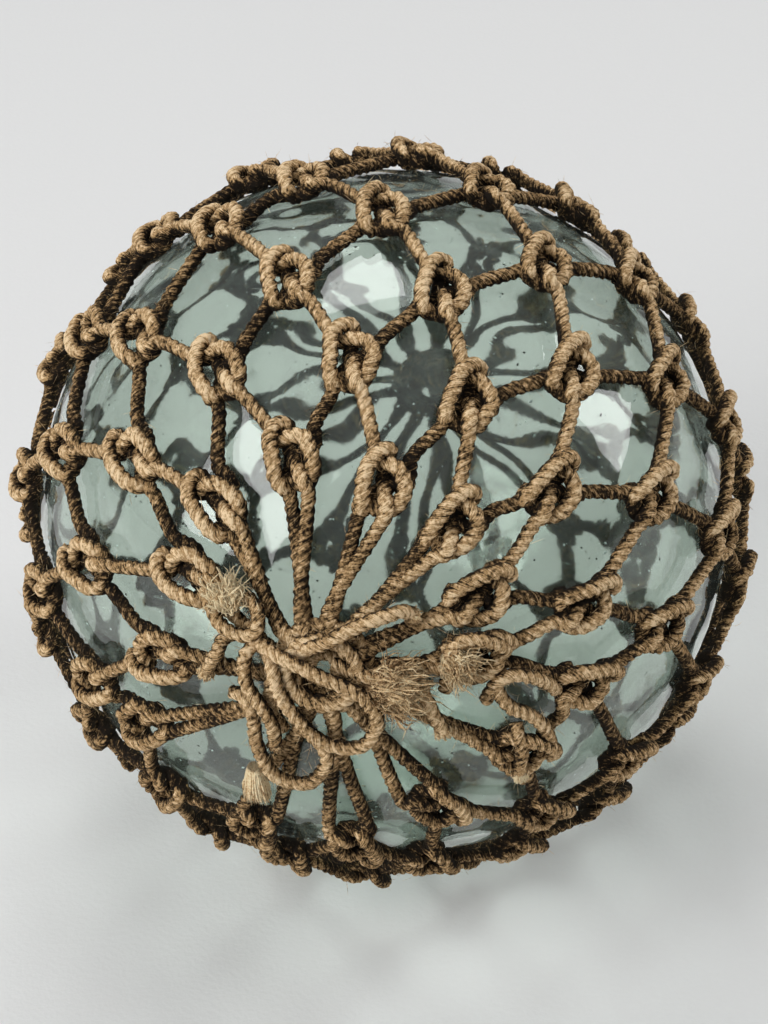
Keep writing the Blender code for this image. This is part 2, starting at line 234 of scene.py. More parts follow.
# The net's ropes
# Three-strand laid rope of coarse brown fibre, 6.5 mm thick. Thirteen ropes run from the far
# eye to a bight at the gather and back, and a sheet bend knots each to its neighbours in every
# row: in turn it is the bight that is caught, and the rope that goes round it.
ROPE_RADIUS = 0.00325
LAY_LENGTH = 0.0128
ROPE_SIDES = 12
# A strand's four points round the rope, as shares of its radius: the third is in the groove
LOBE_SHAPE = (1.055, 1.005, 0.87, 1.005)
ROPE_STEP = 0.00122
ROPE_LUMPS = 0.07
# The lengths of the lumps along a strand, their shift from strand to strand, and random phases
LUMP_LENGTHS = (0.0061, 0.0097, 0.0173)
LUMP_SHIFT = 2.1
PHASES = (0.0, 6.3)
ROPE_ROUGHNESS = 0.022
CLEAR_OF_GLASS = 0.0002
# Rope is paler where it faces outwards, from wear and painted light, and darker on its flanks, as
# painted shade: from this cosine on, and fully this much further. It is paler still where it stands proud
# of the glass, and darker where it lies low on it, as painted shade: from this many rope radii on, and
# fully this many further. Then its level where it lies on the glass, and how much more where proud
FACING_FROM, FACING_OVER = -0.10, 0.95
PROUD_FROM, PROUD_OVER = 0.9, 2.4
WEAR_AND_SHADE_LYING, WEAR_AND_LIGHT_MORE_PROUD = 0.62, 0.38
# How far out of the groove the middle of a rope's cut end counts as
END_CROWN = 0.5
# The rope is looser and so thicker inside a knot, within this many rope radii of its middle
KNOT_SWELL = 0.13
KNOT_SPAN = 4.6
# The strands that leave a knot to its right lie low, and are drawn darker: their level is capped at this
LOW_STRAND_CAP = 0.58
LOW_STRAND_POINTS = 3
# The grain of the fibres is drawn out this many times along the rope
FIBRE_STRETCH = 3.5
# Ropes low down are darker, as painted shade: their level is kept at this share below the first height,
# and whole over the second
PAINTED_SHADE_HEIGHTS = (0.04, 0.24)
PAINTED_SHADE_LOW_DOWN = 0.60
# The colour of old rope is its level of wear and of painted light and shade. To it each noise adds its
# gain times what it has over its middle. A noise is given by its waves to the metre, detail and roughness:
# the grain of the fibres, tufts of them, and slow patches
GRAIN, GRAIN_GAIN = (1300.0, 3.0, 0.65), 2.6
TUFTS, TUFTS_GAIN = (620.0, 2.0, 0.6), 2.0
PATCHES, PATCHES_GAIN = (55.0, 2.0, 0.5), 1.3
NOISE_MIDDLE = 0.5
# The crown of a strand adds its gain times what it has over its middle: the groove between strands darker,
# as painted shade, the crown paler, as painted light
CROWN_GAIN, CROWN_MIDDLE = 0.34, 0.6
# The levels between which one colour goes over into the next
BROWN_LEVELS, TAN_LEVELS, STRAW_LEVELS = (0.12, 0.46), (0.42, 0.78), (0.85, 1.35)
# The bump of the fibres: how much of it is tufts, and its depth; and how dull they are
TUFTS_IN_BUMP = 0.8
FIBRE_DEPTH = 0.0007
FIBRE_ROUGHNESS, FIBRE_GLOSS = 0.95, 0.15
# Dark, brown, tan and straw: dark and brown serve for the rope's own colour and for painted shade in
# grooves, on flanks, under knots and low down; tan and straw for worn fibre and painted light on top
ROPE_COLOURS = ((0.013, 0.009, 0.006), (0.105, 0.063, 0.027), (0.475, 0.300, 0.140), (0.90, 0.68, 0.42))
NET_BLEACHED = 0.0

# The lattice of knots, in degrees: the gather's rise over level and its swing to the left of
# the front, then each row's distance from the gather, and how far round it each knot is
MESHES_ROUND = 13
KNOT_ROWS = 9
GATHER_RISE = 13.3
GATHER_SWING = 8.8
FIRST_ROW_ANGLE = 30.3
LAST_ROW_ANGLE = 146.3
FIRST_KNOT_TURN = -16.8
ROW_TWIST = 0.74
# Near the gather the rows are pulled to one side, made oval and crowded round it: by so many
# degrees, towards this turn, fading in so many rows. The oval fades as the pull does
PULL, PULL_TOWARDS, PULL_FADES_IN_ROWS = 3.7, 201.0, 2.0
OVAL, OVAL_TOWARDS = 4.6, 3.5
SKEW, SKEW_TOWARDS, SKEW_FADES_IN_ROWS = 6.0, -64.0, 4.0
# Knots tied off the even lattice: column and row, then degrees outwards and round
LOOSE_KNOTS = {
    (0, 1): (2.5, -1.3), (0, 2): (2.1, -2.4), (1, 0): (-2.8, 2.1), (1, 3): (3.0, 0.0),
    (2, 0): (0.0, 2.0), (2, 4): (-2.9, -1.1), (4, 0): (-2.5, -5.0), (4, 1): (-1.5, 0.8),
    (5, 0): (5.5, 2.8), (5, 1): (-2.3, -6.0), (5, 2): (-2.6, -2.5), (6, 0): (-2.7, 2.5),
    (6, 1): (4.0, 3.0), (8, 0): (1.3, -5.0), (9, 0): (3.0, 4.0), (10, 0): (-1.5, -2.6),
    (11, 0): (-2.4, 3.6),
}
# A sheet bend seen from outside, in rope radii: right, outwards from the gather, and up
# over the knot's middle level. The bight comes from the lower left and leaves at the
# upper left, and the rope that goes round it comes from below and leaves at the right.
# Their first and last points are heights alone, and lie towards the knots they go to
BIGHT_ENTRY, BIGHT_EXIT = -0.5, 0.0
BIGHT = [
    (-2.3, -2.9, -0.4), (-0.9, -3.3, -0.5), (0.8, -3.5, -0.7), (2.0, -2.7, 0.1), (2.5, -1.2, 0.8),
    (2.4, 0.5, 1.2), (1.5, 1.9, 1.2), (-0.2, 2.5, 0.6), (-1.9, 2.3, -0.4),
]
ROUND_ENTRY, ROUND_EXIT = 0.5, -1.0
GOING_ROUND = [
    (1.2, -3.7, 1.2), (0.8, -2.5, 1.1), (0.3, -1.3, 0.1), (-0.3, 0.1, -1.0), (-0.6, 1.7, -1.3),
    (-0.7, 3.2, -0.9), (-0.6, 4.3, 0.3), (-1.6, 4.0, 1.4), (-2.5, 2.3, 1.9), (-2.6, 0.0, 2.0),
    (-2.3, -2.4, 1.6), (-1.7, -4.0, 0.4), (-1.1, -2.9, -1.1), (-0.5, -1.2, -1.3), (0.8, 0.4, -0.9),
    (2.4, 1.1, -1.2),
]
# What lies under these heights, in rope radii, is darkened as painted shade under the other rope and
# hardly worn; what is over them is fully worn and lit
WEAR_AND_SHADE_HEIGHTS = (-1.1, 0.4)
SHADED_UNDER_LEVEL = 0.15
# How far off a knot's first and last points lie, and how high its middle level is over the
# glass, in rope radii. A knot is pressed to a share of its height and tied a little unevenly
STRAND_REACH = 5.0
KNOT_LEVEL = 2.0
KNOT_DEPTH = 0.78
KNOT_SIZE = 1.04
KNOT_UNEVENNESS = 0.12
# A rope's bight at the gather: the radius and height of its tip, how far the tips' heights
# differ, and its points, as degrees outwards from the tip, degrees round and metres lower
BIGHT_TIP_RADIUS = 0.0125
BIGHT_TIP_HEIGHT = 0.0085
BIGHT_TIP_PLAY = (-0.002, 0.003)
BIGHT_TIP_WEAR = 0.9
BIGHT_TIP_LEAD = 0.25
BIGHT_TIP = np.array([(4.5, 16.0, 0.003), (0.6, 11.7, 0.0), (0.6, -11.7, 0.0), (4.5, -16.0, 0.003)])
# A rope's end at the far eye: its radius, how far it leads the lattice in meshes, then its
# last two points, as degrees before the eye and round, and their heights in rope radii.
# Every other rope ends higher
EYE_RADIUS = 0.0125
EYE_LEAD = 0.3
EYE_APPROACH = np.array([6.0, 0.0])
EYE_SWING = np.array([0.0, 5.0])
EYE_HEIGHTS, EYE_HIGHER = (1.4, 2.2), 1.6
# Which ropes go into which mesh. The last number is the coil in the far eye
NET_PIECES = ((0, 1, 2), (3, 4, 5), (6, 7, 8), (9, 10, 11, 12, 13))
# The far eye is closed by a flat coil of rope: the radii it runs between, its turns, its
# height over the glass in rope radii, and the points of its spiral
COIL_RADII = (0.0020, 0.0225)
COIL_TURNS = 3.4
COIL_HEIGHT = 3.2
COIL_POINTS = 90
# The points that a curve has on each leg before they are spaced evenly
FINE_POINTS = 12
# Where the random numbers start for how the knots are tied, for the ropes and for the coil
KNOT_RANDOM, ROPE_RANDOM, COIL_RANDOM = 100, 200, 240


def gather_axes():
    """The gather's outward direction, and the directions up and right over the ball there."""
    rise, swing = math.radians(GATHER_RISE), math.radians(GATHER_SWING)
    out = np.array([-math.sin(swing) * math.cos(rise), -math.cos(swing) * math.cos(rise), math.sin(rise)])
    up = np.array([0.0, 0.0, 1.0]) - out * out[2]
    up /= np.linalg.norm(up)
    return out, up, np.cross(up, out)


GATHER, GATHER_UP, GATHER_RIGHT = gather_axes()


def direction(away, turn):
    """Unit directions that lie away degrees from the gather and turn degrees round it."""
    away, turn = np.radians(away), np.radians(turn)
    across = np.multiply.outer(np.cos(turn), GATHER_UP) + np.multiply.outer(np.sin(turn), GATHER_RIGHT)
    return np.cos(away)[..., None] * GATHER + np.sin(away)[..., None] * across


def knot_angles(column, row):
    """Where a knot sits: the even lattice, pulled and skewed near the gather."""
    turn = FIRST_KNOT_TURN + 360.0 / MESHES_ROUND * (column - row / 2) + ROW_TWIST * row
    pull = PULL * math.cos(math.radians(turn - PULL_TOWARDS))
    pull += OVAL * math.cos(math.radians(2 * (turn - OVAL_TOWARDS)))
    row_step = (LAST_ROW_ANGLE - FIRST_ROW_ANGLE) / (KNOT_ROWS - 1)
    away = FIRST_ROW_ANGLE + row_step * row + pull * math.exp(-row / PULL_FADES_IN_ROWS)
    turn += SKEW * math.cos(math.radians(turn - SKEW_TOWARDS)) * math.exp(-row / SKEW_FADES_IN_ROWS)
    out_by, round_by = LOOSE_KNOTS.get((column % MESHES_ROUND, row), (0.0, 0.0))
    return away + out_by, turn + round_by


def knot_points(column, row, goes_round, rng):
    """A knot's rope in its own plane, bent over the glass at the knot's place, and how much of the rubbing
    and light
    reaches each point of it: what lies under other rope gets painted shade."""
    away, turn = knot_angles(column, row)
    radial = direction(np.array(away), np.array(turn))
    onwards = direction(np.array(away + 90.0), np.array(turn))
    sideways = np.cross(onwards, radial)

    def towards(other_column, other_row, height):
        """The point where the rope has left the knot towards another one."""
        other = direction(*np.array(knot_angles(other_column, other_row)))
        aim = np.array([other @ sideways, other @ onwards])
        return (*(STRAND_REACH * aim / np.linalg.norm(aim)), height)

    if goes_round:
        first, last = towards(column, row - 1, ROUND_ENTRY), towards(column + 1, row + 1, ROUND_EXIT)
        shape = np.array([first, *GOING_ROUND, last])
        low_strand = np.arange(len(shape)) >= len(shape) - LOW_STRAND_POINTS
    else:
        first, last = towards(column - 1, row - 1, BIGHT_ENTRY), towards(column, row + 1, BIGHT_EXIT)
        shape = np.array([first, *BIGHT, last])
        low_strand = np.arange(len(shape)) < LOW_STRAND_POINTS
    # Rope that lies under other rope in the knot is darker: painted shade, with less wear
    shaded_wear = np.interp(shape[:, 2], WEAR_AND_SHADE_HEIGHTS, (SHADED_UNDER_LEVEL, 1.0))
    shaded_wear[[0, -1]] = 1.0
    # The low strands are drawn darker: their level is capped
    shaded_wear = np.where(low_strand, np.minimum(shaded_wear, LOW_STRAND_CAP), shaded_wear)
    local = shape * KNOT_SIZE + rng.normal(scale=KNOT_UNEVENNESS, size=shape.shape)
    aside = (local[:, :1] * sideways + local[:, 1:2] * onwards) * ROPE_RADIUS
    place = GLASS_RADIUS * radial + aside
    place /= np.linalg.norm(place, axis=1, keepdims=True)
    height = (KNOT_LEVEL + KNOT_DEPTH * local[:, 2]) * ROPE_RADIUS
    return np.column_stack([BALL_CENTRE + place * (GLASS_RADIUS + height)[:, None], shaded_wear])


def smooth_path(points, step):
    """Even points on the cubic curve through the given ones, each leg timed by its own length. At a
    point the curve runs mostly along the longer of its two legs, so a taut strand stays straight.
    What the points hold after their three coordinates goes along with them."""
    points = np.asarray(points, float)
    legs = np.linalg.norm(np.diff(points[:, :3], axis=0), axis=1)
    slopes = np.diff(points, axis=0) / legs[:, None]
    before, after = legs[:-1, None], legs[1:, None]
    inner_slopes = (slopes[:-1] * before + slopes[1:] * after) / (before + after)
    tangents = np.concatenate([slopes[:1], inner_slopes, slopes[-1:]])
    share = np.linspace(0, 1, FINE_POINTS, endpoint=False)[None, :, None]
    start, end, leg = points[:-1, None], points[1:, None], legs[:, None, None]
    leave, arrive = tangents[:-1, None], tangents[1:, None]
    fine = (2 * share ** 3 - 3 * share ** 2 + 1) * start
    fine += (share ** 3 - 2 * share ** 2 + share) * leg * leave
    fine += (3 * share ** 2 - 2 * share ** 3) * end + (share ** 3 - share ** 2) * leg * arrive
    fine = np.concatenate([fine.reshape(-1, points.shape[1]), points[-1:]])
    run = np.concatenate([[0.0], np.cumsum(np.linalg.norm(np.diff(fine[:, :3], axis=0), axis=1))])
    even = np.linspace(0, run[-1], max(3, round(run[-1] / step)))
    return np.stack([np.interp(even, run, values) for values in fine.T], -1)


def off_the_glass(path, radius):
    """Lifts the points of a path that would put the rope into the glass."""
    spoke = path - BALL_CENTRE
    length = np.linalg.norm(spoke, axis=1, keepdims=True)
    least = GLASS_RADIUS + radius + CLEAR_OF_GLASS
    return BALL_CENTRE + spoke / length * np.maximum(length, least)


def laid_rope(path, radius, seed, swell=1.0, shaded_wear=1.0):
    """A three-strand rope on a path: each ring's radius rises and falls three times round it, and
    the rings turn once in a lay. Every point also gets its share of rubbing and light: paler, as rubbing
    and painted light, on top of what stands proud of the glass, and darker, as painted shade, on the
    flanks, low on the glass and low down on the ball; how far it stands out of the groove between two
    strands; and its place in the rope's own length and thickness, for the grain of the fibres."""
    rng = np.random.default_rng(seed)
    count = len(path)
    run = np.concatenate([[0.0], np.cumsum(np.linalg.norm(np.diff(path, axis=0), axis=1))])
    ahead = np.gradient(path, axis=0)
    ahead /= np.linalg.norm(ahead, axis=1, keepdims=True)
    outwards = path - BALL_CENTRE
    height = np.linalg.norm(outwards, axis=1) - GLASS_RADIUS
    outwards /= np.linalg.norm(outwards, axis=1, keepdims=True)
    lift = outwards - ahead * np.sum(outwards * ahead, axis=1, keepdims=True)
    lift /= np.linalg.norm(lift, axis=1, keepdims=True)
    aside = np.cross(lift, ahead)
    column = np.arange(ROPE_SIDES)
    shape = np.array(LOBE_SHAPE)[column % len(LOBE_SHAPE)]
    own_angle = 2 * math.pi * column / ROPE_SIDES
    angle = own_angle - 2 * math.pi * (run[:, None] / LAY_LENGTH + rng.random())
    strand = column // len(LOBE_SHAPE)
    lumps = sum(
        np.sin(run[:, None] * (2 * math.pi / length) + strand * LUMP_SHIFT + rng.uniform(*PHASES))
        for length in LUMP_LENGTHS) / len(LUMP_LENGTHS)
    roughness = rng.normal(scale=ROPE_ROUGHNESS, size=(count, ROPE_SIDES))
    reach = radius * shape * (1 + ROPE_LUMPS * lumps + roughness)
    reach = reach * np.broadcast_to(swell, count)[:, None]
    ring = np.cos(angle)[..., None] * lift[:, None] + np.sin(angle)[..., None] * aside[:, None]
    points = path[:, None] + ring * reach[..., None]
    # Standing proud of the glass is paler, from wear; lying low on it is darker, as painted shade
    proud = np.clip((height[:, None] / ROPE_RADIUS - PROUD_FROM) / PROUD_OVER, 0, 1)
    # Facing outwards is paler, from wear and painted light; the flanks are darker, as painted shade
    facing = np.clip((np.cos(angle) - FACING_FROM) / FACING_OVER, 0, 1)
    wear_and_shade = facing * (WEAR_AND_SHADE_LYING + WEAR_AND_LIGHT_MORE_PROUD * proud) * np.broadcast_to(shaded_wear, count)[:, None]
    # Ropes low down on the ball are darker: painted shade
    wear_and_shade *= np.interp(path[:, 2:], PAINTED_SHADE_HEIGHTS, (PAINTED_SHADE_LOW_DOWN, 1.0))
    crown = (shape - min(LOBE_SHAPE)) / (max(LOBE_SHAPE) - min(LOBE_SHAPE))
    crown = np.broadcast_to(crown, wear_and_shade.shape)
    right, up = radius * np.cos(own_angle)[None], radius * np.sin(own_angle)[None]
    lie = np.stack(np.broadcast_arrays(right, up, run[:, None] / FIBRE_STRETCH + seed), -1)
    index = np.arange(count * ROPE_SIDES).reshape(count, ROPE_SIDES)
    beside = np.roll(index, -1, axis=1)
    quads = np.stack([index[:-1], index[1:], beside[1:], beside[:-1]], -1).reshape(-1, 4)
    ends = np.array([[count * ROPE_SIDES], [count * ROPE_SIDES + 1]])
    first = np.stack([np.full(ROPE_SIDES, ends[0, 0]), index[0], beside[0]], -1)
    last = np.stack([np.full(ROPE_SIDES, ends[1, 0]), beside[-1], index[-1]], -1)
    values = {
        "wear_and_shade": np.concatenate([wear_and_shade.ravel(), wear_and_shade[[0, -1]].mean(1)]),
        "crown": np.concatenate([crown.ravel(), [END_CROWN, END_CROWN]]),
        "lie": np.concatenate([lie.reshape(-1, 3), lie[[0, -1]].mean(1)]),
    }
    points = np.concatenate([points.reshape(-1, 3), path[[0, -1]]])
    return points, quads, np.concatenate([first, last]), values


def rope_piece(name, ropes):
    """Several ropes as one mesh, squashed flat where they would go into what the float rests on."""
    starts = np.cumsum([0] + [len(rope[0]) for rope in ropes])
    points = np.concatenate([rope[0] for rope in ropes])
    points[:, 2] = np.maximum(points[:, 2], 0.0)
    quads = np.concatenate([rope[1] + start for rope, start in zip(ropes, starts)])
    caps = np.concatenate([rope[2] + start for rope, start in zip(ropes, starts)])
    values = {title: np.concatenate([rope[3][title] for rope in ropes]) for title in ropes[0][3]}
    return surface(name, points, [quads, caps], values)


def knot_middles():
    """Every knot's place on the glass."""
    angles = [knot_angles(column, row) for row in range(KNOT_ROWS) for column in range(MESHES_ROUND)]
    away, turn = np.array(angles).T
    return BALL_CENTRE + GLASS_RADIUS * direction(away, turn)


KNOT_MIDDLES = knot_middles()


def knot_swell(path):
    """How much thicker the rope is at each point of a path: one, and the swelling times e to minus
    the sixth power of the distance to the nearest knot, along the glass, over the knot's span."""
    gaps = path - BALL_CENTRE
    on_glass = BALL_CENTRE + gaps * (GLASS_RADIUS / np.linalg.norm(gaps, axis=1, keepdims=True))
    nearest = np.linalg.norm(on_glass[:, None] - KNOT_MIDDLES[None], axis=2).min(axis=1)
    return 1 + KNOT_SWELL * np.exp(-(nearest / (KNOT_SPAN * ROPE_RADIUS)) ** 6)


def outward_half(column, goes_round, rng):
    """Half a rope, from its first knot at the gather out to the far eye."""
    points = []
    for row in range(KNOT_ROWS):
        points.append(knot_points(column, row, goes_round, rng))
        column += 1 if goes_round else 0
        goes_round = not goes_round
    eye_turn = FIRST_KNOT_TURN + 360.0 / MESHES_ROUND * (column - KNOT_ROWS / 2 + EYE_LEAD)
    eye_angle = 180.0 - math.degrees(EYE_RADIUS / GLASS_RADIUS)
    eye = direction(eye_angle - EYE_APPROACH, eye_turn + EYE_SWING)
    height = np.array([EYE_HEIGHTS[0], EYE_HEIGHTS[1] + EYE_HIGHER * (column % 2)])
    height = height[:, None] * ROPE_RADIUS
    ends = np.column_stack([BALL_CENTRE + eye * (GLASS_RADIUS + height), [1.0, 1.0]])
    return np.concatenate(points + [ends])


def net_rope(number):
    """One whole rope of the net: in from the far eye, a bight at the gather, and out again."""
    rng = np.random.default_rng(KNOT_RANDOM + number)
    coming_in = outward_half(number + 1, False, rng)[::-1]
    going_out = outward_half(number, True, rng)
    turn = FIRST_KNOT_TURN + 360.0 / MESHES_ROUND * (number + BIGHT_TIP_LEAD)
    tip_angle = math.degrees(BIGHT_TIP_RADIUS / GLASS_RADIUS)
    outwards, round_by, lower = BIGHT_TIP.T
    height = BIGHT_TIP_HEIGHT + rng.uniform(*BIGHT_TIP_PLAY) - lower[:, None]
    bight = BALL_CENTRE + direction(tip_angle + outwards, turn + round_by) * (GLASS_RADIUS + height)
    bight = np.column_stack([bight, np.full(len(bight), BIGHT_TIP_WEAR)])
    path = smooth_path(np.concatenate([coming_in, bight, going_out]), ROPE_STEP)
    shaded_wear = path[:, 3]
    path = off_the_glass(path[:, :3], ROPE_RADIUS)
    return laid_rope(path, ROPE_RADIUS, ROPE_RANDOM + number, knot_swell(path), shaded_wear)


def eye_coil():
    """The flat coil in the far eye: a spiral whose radius grows evenly with its turn."""
    turn = np.linspace(0, 360.0 * COIL_TURNS, COIL_POINTS)
    away = 180.0 - np.degrees(np.linspace(*COIL_RADII, COIL_POINTS) / GLASS_RADIUS)
    path = BALL_CENTRE + direction(away, turn) * (GLASS_RADIUS + COIL_HEIGHT * ROPE_RADIUS)
    return laid_rope(smooth_path(path, ROPE_STEP), ROPE_RADIUS, COIL_RANDOM)


def rope_wear_and_shade_group():
    """Colour and height of old laid rope. Nearly black in the grooves and below and brown on the
    flanks, as the rope's own colour and painted shade, and tan and straw on what is rubbed, as real
    rubbing and painted light: the share of rubbing and shade, with the grain of the fibres, tufts, slow
    patches and the crown of the strand added, is the place on that scale."""
    group = bpy.data.node_groups.new("rope_wear_and_shade", "ShaderNodeTree")
    for title in ("Dark", "Brown", "Tan", "Straw"):
        group.interface.new_socket(title, in_out="INPUT", socket_type="NodeSocketColor")
    group.interface.new_socket("Bleached", in_out="INPUT", socket_type="NodeSocketFloat")
    group.interface.new_socket("Color", in_out="OUTPUT", socket_type="NodeSocketColor")
    group.interface.new_socket("Height", in_out="OUTPUT", socket_type="NodeSocketFloat")
    nodes, links = group.nodes, group.links
    given = nodes.new("NodeGroupInput")
    result = nodes.new("NodeGroupOutput")
    place = nodes.new("ShaderNodeTexCoord")

    def attribute(title, output="Fac"):
        """What is kept for every point of the mesh."""
        node = nodes.new("ShaderNodeAttribute")
        node.attribute_name = title
        return node.outputs[output]

    def noise(where, scale, detail, roughness):
        """Noise from 0 to 1."""
        node = nodes.new("ShaderNodeTexNoise")
        node.inputs["Scale"].default_value = scale
        node.inputs["Detail"].default_value = detail
        node.inputs["Roughness"].default_value = roughness
        links.new(where, node.inputs["Vector"])
        return node.outputs["Fac"]

    def sum_of(first, second, gain, shift=0.0):
        """First plus gain times second less the shift."""
        lower = nodes.new("ShaderNodeMath")
        lower.operation = "SUBTRACT"
        links.new(second, lower.inputs[0])
        lower.inputs[1].default_value = shift
        node = nodes.new("ShaderNodeMath")
        node.operation = "MULTIPLY_ADD"
        links.new(lower.outputs[0], node.inputs[0])
        node.inputs[1].default_value = gain
        links.new(first, node.inputs[2])
        return node.outputs[0]

    def blend(factor, first, second, low, high):
        """First up to where the factor is low, second from where it is high."""
        scale = nodes.new("ShaderNodeMapRange")
        scale.interpolation_type = "SMOOTHSTEP"
        links.new(factor, scale.inputs["Value"])
        scale.inputs["From Min"].default_value = low
        scale.inputs["From Max"].default_value = high
        mix = nodes.new("ShaderNodeMix")
        mix.data_type = "RGBA"
        links.new(scale.outputs["Result"], mix.inputs["Factor"])
        links.new(first, mix.inputs["A"])
        links.new(second, mix.inputs["B"])
        return mix.outputs["Result"]

    grain = noise(attribute("lie", "Vector"), *GRAIN)
    tufts = noise(place.outputs["Object"], *TUFTS)
    patches = noise(place.outputs["Object"], *PATCHES)
    level = sum_of(attribute("wear_and_shade"), grain, GRAIN_GAIN, NOISE_MIDDLE)
    level = sum_of(level, tufts, TUFTS_GAIN, NOISE_MIDDLE)
    level = sum_of(level, patches, PATCHES_GAIN, NOISE_MIDDLE)
    # The groove between strands is darker and the crown paler: painted shade and painted light
    level = sum_of(level, attribute("crown"), CROWN_GAIN, CROWN_MIDDLE)
    level = sum_of(level, given.outputs["Bleached"], 1.0)
    colour = blend(level, given.outputs["Dark"], given.outputs["Brown"], *BROWN_LEVELS)
    colour = blend(level, colour, given.outputs["Tan"], *TAN_LEVELS)
    colour = blend(level, colour, given.outputs["Straw"], *STRAW_LEVELS)
    links.new(colour, result.inputs["Color"])
    links.new(sum_of(grain, tufts, TUFTS_IN_BUMP), result.inputs["Height"])
    return group


def rope_finish(name, group, bleached, colours):
    """Old rope with its own colours and its own share of bleaching."""
    mat = bpy.data.materials.new(name)
    mat.use_nodes = True
    nodes, links = mat.node_tree.nodes, mat.node_tree.links
    shader = nodes["Principled BSDF"]
    shader.inputs["Roughness"].default_value = FIBRE_ROUGHNESS
    shader.inputs["Specular IOR Level"].default_value = FIBRE_GLOSS
    shaded_wear = nodes.new("ShaderNodeGroup")
    shaded_wear.node_tree = group
    for title, colour in zip(("Dark", "Brown", "Tan", "Straw"), colours):
        shaded_wear.inputs[title].default_value = (*colour, 1.0)
    shaded_wear.inputs["Bleached"].default_value = bleached
    bump = nodes.new("ShaderNodeBump")
    bump.inputs["Strength"].default_value = 1.0
    bump.inputs["Distance"].default_value = FIBRE_DEPTH
    links.new(shaded_wear.outputs["Color"], shader.inputs["Base Color"])
    links.new(shaded_wear.outputs["Height"], bump.inputs["Height"])
    links.new(bump.outputs["Normal"], shader.inputs["Normal"])
    return mat


rope_wear_and_shade = rope_wear_and_shade_group()
net_finish = rope_finish("net_rope", rope_wear_and_shade, NET_BLEACHED, ROPE_COLOURS)
net_ropes = [net_rope(number) for number in range(MESHES_ROUND)]
net_ropes.append(eye_coil())
for part_number, numbers in enumerate(NET_PIECES, 1):
    net_part = rope_piece("net_ropes_%d" % part_number, [net_ropes[number] for number in numbers])
    net_part.data.materials.append(net_finish)
    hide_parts("rope_net")
    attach(net_part, "root")


# The drawstring
# The same rope, run through the bights at the gather and tied off over them in loops and
# bights. Its short ends lie across them or hang down, and are cut or frayed.

# Each route is millimetres right and up over the glass from the gather, then over it
TIE_ROUTES = {
    "across": [(-9, 8, 12), (-5, 12, 16), (2, 16, 19), (9, 21, 20), (18, 26, 20), (26, 29, 19),
               (31, 30, 16), (35, 28, 11)],
    "loop": [(-32, 17, 8), (-29, 12, 11), (-23, 9, 15), (-15, 7, 18), (-8, 5, 19), (-1, 2, 19),
             (7, -1, 19), (14, -4, 19), (19, -8, 19), (23, -16, 18), (22, -24, 17), (18, -30, 17),
             (11, -32, 17), (4, -31, 17), (-3, -27, 17), (-8, -21, 17), (-13, -15, 17), (-17, -8, 17),
             (-19, -1, 17), (-21, 3, 14), (-24, 6, 9)],
    "low_loop": [(-40, -18, 8), (-34, -17, 11), (-30, -19, 14), (-28, -26, 15), (-27, -35, 16),
                 (-24, -45, 16), (-20, -52, 16), (-13, -55, 16), (-5, -54, 16), (0, -48, 16),
                 (3, -40, 16), (0, -33, 14), (-5, -30, 11), (-10, -26, 10)],
    "left_bight": [(-27, 11, 12), (-31, 6, 15), (-32, -1, 16), (-30, -8, 17), (-26, -14, 17),
                   (-22, -21, 16), (-20, -28, 14), (-20, -38, 12)],
    "small_bight": [(-54, 27, 10), (-49, 23, 13), (-45, 17, 14), (-40, 14, 15), (-33, 13, 15),
                    (-28, 15, 15), (-27, 20, 14), (-29, 25, 12), (-34, 28, 9)],
    "small_end": [(-39, 11, 10), (-43, 8, 12), (-45, 2, 13), (-48, -3, 12), (-51, -9, 10)],
    "right_loop": [(52, -9, 6), (52, 1, 9), (52, 10, 12), (54, 16, 15), (59, 18, 16), (66, 17, 16),
                   (72, 14, 14), (76, 10, 10), (75, 6, 7)],
    "dark_strand": [(70, -16, 6), (72, -8, 9), (74, -3, 12), (79, -1, 13), (87, -3, 13), (95, -8, 11),
                    (102, -15, 8)],
    "smooth_strand": [(73, -6, 9), (75, -12, 11), (80, -18, 12), (87, -22, 12), (94, -29, 12),
                      (99, -39, 11), (103, -52, 8)],
    "cut_tail": [(84, -29, 8), (84, -34, 11), (86, -42, 12), (86, -52, 12), (88, -62, 11)],
    "frayed_end": [(4, 4, 10), (12, 2, 12), (18, 1, 14), (24, 0, 15)],
    "slack_end": [(41, -7, 9), (44, -12, 12), (47, -19, 12), (51, -27, 10)],
    "hanging": [(-20, -2, 9), (-22, -9, 10), (-22, -17, 10), (-20, -25, 10), (-17, -32, 9)],
}
# The turns of the drawstring through the bights: radius about the gather, and height
DRAW_RINGS = ((0.0195, 0.0060), (0.0130, 0.0045), (0.0150, 0.0125), (0.0065, 0.0060))
RING_POINTS = 40
TIE_BLEACHED = 0.04
# Where the random numbers start for the routes and for the rings
TIE_RANDOM, RING_RANDOM = 300, 350


def over_gather(places):
    """Points from millimetres right and up over the glass from the gather, and over the glass."""
    places = np.asarray(places, float) / 1000
    away = np.degrees(np.hypot(places[:, 0], places[:, 1]) / GLASS_RADIUS)
    turn = np.degrees(np.arctan2(places[:, 0], places[:, 1]))
    return BALL_CENTRE + direction(away, turn) * (GLASS_RADIUS + places[:, 2:])


